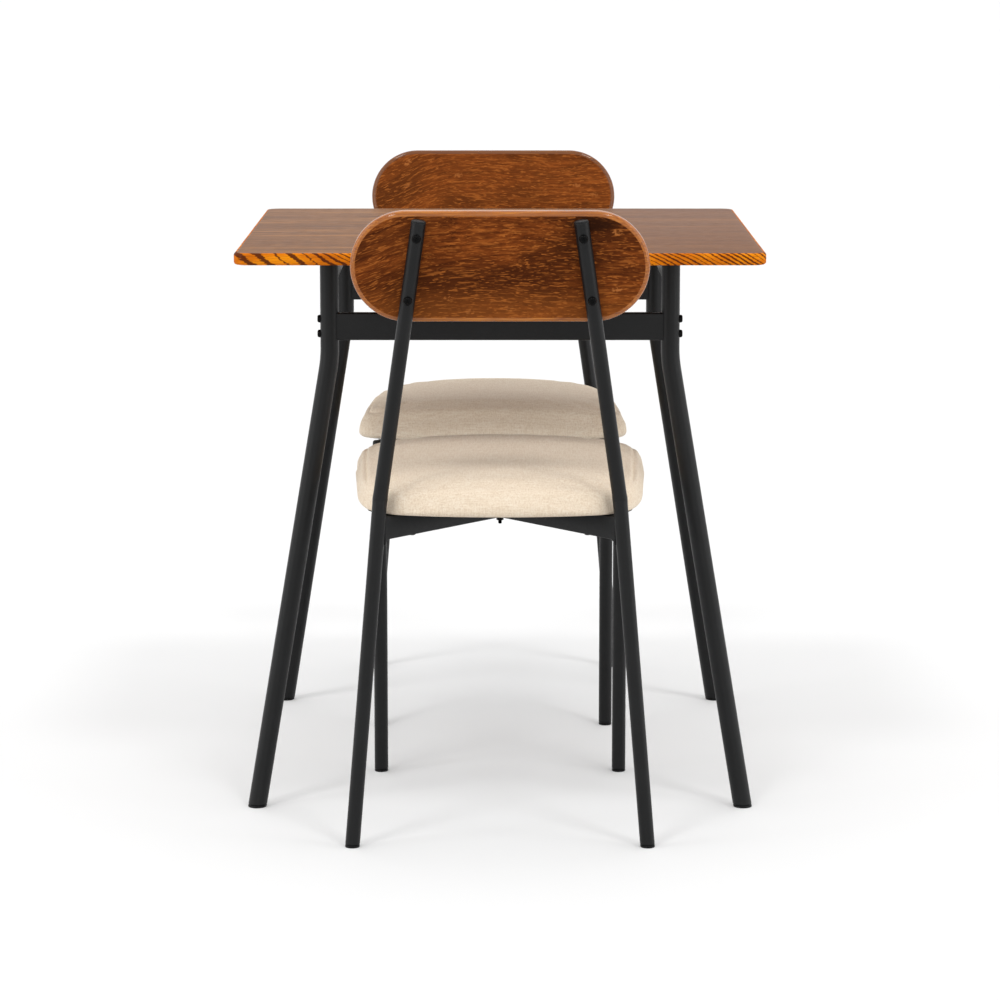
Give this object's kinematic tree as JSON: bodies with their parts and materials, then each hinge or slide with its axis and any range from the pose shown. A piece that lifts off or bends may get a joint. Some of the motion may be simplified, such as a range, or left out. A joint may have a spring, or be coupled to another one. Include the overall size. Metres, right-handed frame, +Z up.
{
  "type": "dining table and chairs set",
  "caption": "Square wooden dining table on splayed steel legs with matching chairs tucked in at opposite sides, wooden backrests, upholstered seats.",
  "frame": {"origin": "on the floor, at the centre of the set's footprint, midway between the two chairs", "axes": "+Z up, +Y from the near chair to the far chair, +X to the right as seen from behind the near chair"},
  "size_m": [0.7, 1.155, 0.8226],
  "materials": {
    "table_wood": "satin grey-brown wood grain with a glossy amber edge",
    "backrest_wood": "satin red-brown oak grain",
    "black_powder_coat": "fine matt black powder coat",
    "black_fastener": "semi-gloss black oxide",
    "black_plastic": "matt moulded plastic",
    "plywood": "raw plywood",
    "beige_linen": "plain woven beige linen",
    "black_cloth": "thin non-woven cloth"
  },
  "bodies": {
    "table": {"table_top": "table_wood", "left_side_rail": "black_powder_coat", "right_side_rail": "black_powder_coat", "near_cross_beam": "black_powder_coat", "far_cross_beam": "black_powder_coat", "near_left_leg": "black_powder_coat", "near_right_leg": "black_powder_coat", "far_left_leg": "black_powder_coat", "far_right_leg": "black_powder_coat", "near_left_foot_plug": "black_plastic", "near_right_foot_plug": "black_plastic", "far_left_foot_plug": "black_plastic", "far_right_foot_plug": "black_plastic", "near_left_lower_bolt": "black_fastener", "near_left_upper_bolt": "black_fastener", "near_right_lower_bolt": "black_fastener", "near_right_upper_bolt": "black_fastener", "far_left_lower_bolt": "black_fastener", "far_left_upper_bolt": "black_fastener", "far_right_lower_bolt": "black_fastener", "far_right_upper_bolt": "black_fastener"},
    "near_chair": {"near_chair_backrest": "backrest_wood", "near_chair_left_back_tube": "black_powder_coat", "near_chair_right_back_tube": "black_powder_coat", "near_chair_left_front_leg": "black_powder_coat", "near_chair_right_front_leg": "black_powder_coat", "near_chair_upper_arm": "black_powder_coat", "near_chair_lower_arm": "black_powder_coat", "near_chair_centre_bolt": "black_fastener", "near_chair_seat_board": "plywood", "near_chair_seat_cushion": "beige_linen", "near_chair_dust_cover": "black_cloth", "near_chair_left_back_foot_plug": "black_plastic", "near_chair_right_back_foot_plug": "black_plastic", "near_chair_left_front_foot_plug": "black_plastic", "near_chair_right_front_foot_plug": "black_plastic", "near_chair_left_lower_screw": "black_fastener", "near_chair_left_upper_screw": "black_fastener", "near_chair_right_lower_screw": "black_fastener", "near_chair_right_upper_screw": "black_fastener"},
    "far_chair": {"far_chair_backrest": "backrest_wood", "far_chair_left_back_tube": "black_powder_coat", "far_chair_right_back_tube": "black_powder_coat", "far_chair_left_front_leg": "black_powder_coat", "far_chair_right_front_leg": "black_powder_coat", "far_chair_upper_arm": "black_powder_coat", "far_chair_lower_arm": "black_powder_coat", "far_chair_centre_bolt": "black_fastener", "far_chair_seat_board": "plywood", "far_chair_seat_cushion": "beige_linen", "far_chair_dust_cover": "black_cloth", "far_chair_left_back_foot_plug": "black_plastic", "far_chair_right_back_foot_plug": "black_plastic", "far_chair_left_front_foot_plug": "black_plastic", "far_chair_right_front_foot_plug": "black_plastic", "far_chair_left_lower_screw": "black_fastener", "far_chair_left_upper_screw": "black_fastener", "far_chair_right_lower_screw": "black_fastener", "far_chair_right_upper_screw": "black_fastener"}
  },
  "joints": [
    {"name": "near_chair_pull", "type": "slide", "parent": "table", "child": "near_chair", "axis": [0, -1, 0], "range_m": [-0.12, 0.45]},
    {"name": "far_chair_pull", "type": "slide", "parent": "table", "child": "far_chair", "axis": [0, 1, 0], "range_m": [-0.12, 0.45]}
  ]
}
